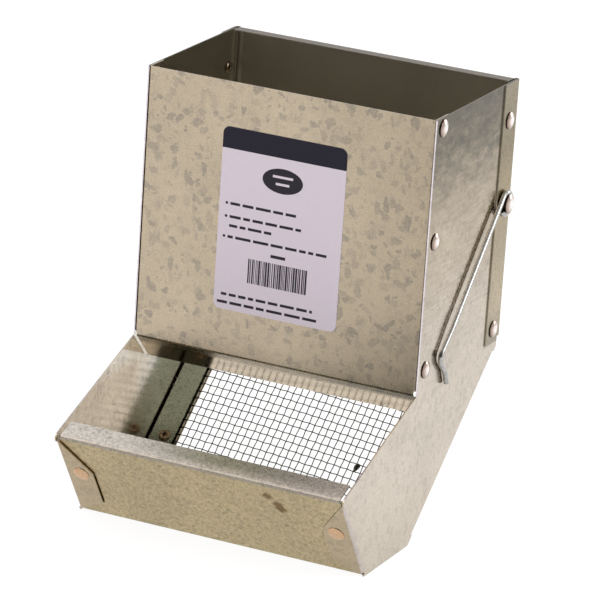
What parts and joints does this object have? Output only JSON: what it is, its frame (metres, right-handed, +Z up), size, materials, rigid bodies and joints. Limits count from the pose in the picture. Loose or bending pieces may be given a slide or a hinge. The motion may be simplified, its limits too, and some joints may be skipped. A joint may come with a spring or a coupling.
{
  "type": "gravity feeder",
  "caption": "Sheet-metal gravity feeder for a cage or hutch: open-top hopper, slanted mesh sifter floor, front trough and pivoting wire hooks.",
  "frame": {"origin": "middle of the flat underside", "axes": "+X to the right seen from the trough side, +Y from the trough towards the back wall, +Z up"},
  "size_m": [0.1376, 0.146, 0.1784],
  "materials": {
    "galvanised_sheet": "spangled zinc coating, satin",
    "rivet_steel": "plated, smooth",
    "mesh_wire": "galvanised wire, dull",
    "hook_wire": "galvanised spring wire, satin",
    "label_paper": "printed paper label"
  },
  "bodies": {
    "feeder": {"body_wrap": "galvanised_sheet", "left_side_panel": "galvanised_sheet", "right_side_panel": "galvanised_sheet", "front_panel": "galvanised_sheet", "sifter_mesh": "mesh_wire", "card_holder": "galvanised_sheet", "card_holder_rivets": "rivet_steel", "product_label": "label_paper", "left_front_seam_rivets": "rivet_steel", "left_back_seam_rivets": "rivet_steel", "left_tab_rivet": "rivet_steel", "left_mesh_rivets": "rivet_steel", "left_hook_rivet": "rivet_steel", "right_front_seam_rivets": "rivet_steel", "right_back_seam_rivets": "rivet_steel", "right_tab_rivet": "rivet_steel", "right_mesh_rivets": "rivet_steel", "right_hook_rivet": "rivet_steel"},
    "left_hook": {"left_hook": "hook_wire"},
    "right_hook": {"right_hook": "hook_wire"}
  },
  "joints": [
    {"name": "left_hook_pivot", "type": "hinge", "parent": "feeder", "child": "left_hook", "pos_m": [-0.066, 0.09101, 0.1276], "axis": [1, 0, 0], "range_deg": [-37, 41]},
    {"name": "right_hook_pivot", "type": "hinge", "parent": "feeder", "child": "right_hook", "pos_m": [0.066, 0.09101, 0.1276], "axis": [1, 0, 0], "range_deg": [-37, 41]}
  ]
}
